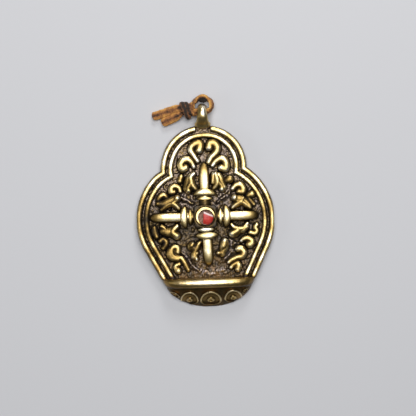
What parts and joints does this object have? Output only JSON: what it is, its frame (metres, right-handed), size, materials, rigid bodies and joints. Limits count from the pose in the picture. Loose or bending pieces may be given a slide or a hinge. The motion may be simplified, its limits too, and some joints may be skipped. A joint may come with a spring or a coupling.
{
  "type": "double vajra pendant",
  "caption": "Flat-backed brass amulet with a crossed vajra in relief, a broken red stone in a bezel, a lotus pedestal and a strap bail that holds a knotted leather thong",
  "frame": {"origin": "middle of the vajra on the plane of the back", "axes": "+Y to the bail along the middle line, +Z out of the face, +X to the right of the face"},
  "size_m": [0.0328, 0.051, 0.0062],
  "materials": {
    "brass": "worn bright on the crests, dark brown patina in the recesses",
    "stone": "polished, chipped along one side",
    "cement": "matt, crumbled",
    "thong": "dry suede, dark in the folds"
  },
  "bodies": {
    "pendant": {"back_plate": "brass", "outer_rim_left": "brass", "outer_rim_right": "brass", "inner_rim": "brass", "pedestal_ledge": "brass", "pedestal_bowl": "brass", "lotus_petal_1": "brass", "lotus_petal_2": "brass", "lotus_petal_3": "brass", "lotus_petal_4": "brass", "lotus_petal_5": "brass", "hub_block": "brass", "bezel": "brass", "neck_ring_top": "brass", "neck_ring_left": "brass", "neck_ring_bottom": "brass", "neck_ring_right": "brass", "lotus_collar_top": "brass", "lotus_collar_left": "brass", "lotus_collar_bottom": "brass", "lotus_collar_right": "brass", "prong_top": "brass", "prong_left": "brass", "prong_bottom": "brass", "prong_right": "brass", "side_prong_top_left": "brass", "side_prong_top_right": "brass", "side_prong_left_lower": "brass", "side_prong_left_upper": "brass", "side_prong_bottom_right": "brass", "side_prong_bottom_left": "brass", "side_prong_right_upper": "brass", "side_prong_right_lower": "brass", "scroll_crown_left": "brass", "scroll_crown_right": "brass", "scroll_shoulder_left": "brass", "scroll_shoulder_right": "brass", "scroll_bud_left": "brass", "scroll_bud_right": "brass", "scroll_high_left": "brass", "scroll_high_right": "brass", "scroll_hook_left": "brass", "scroll_hook_right": "brass", "scroll_leaf_left": "brass", "scroll_leaf_right": "brass", "scroll_low_left": "brass", "scroll_low_right": "brass", "scroll_wave_left": "brass", "scroll_wave_right": "brass", "scroll_corner_left": "brass", "scroll_corner_right": "brass", "bail": "brass", "cement": "cement", "stone": "stone"},
    "thong": {"thong_loop": "thong", "thong_knot": "thong", "thong_tail_long": "thong", "thong_tail_short": "thong"}
  },
  "joints": [
    {"name": "thong_swing", "type": "hinge", "parent": "pendant", "child": "thong", "pos_m": [0, 0.0243, 0.0027], "axis": [1, 0, 0], "range_deg": [-90, 135]}
  ]
}
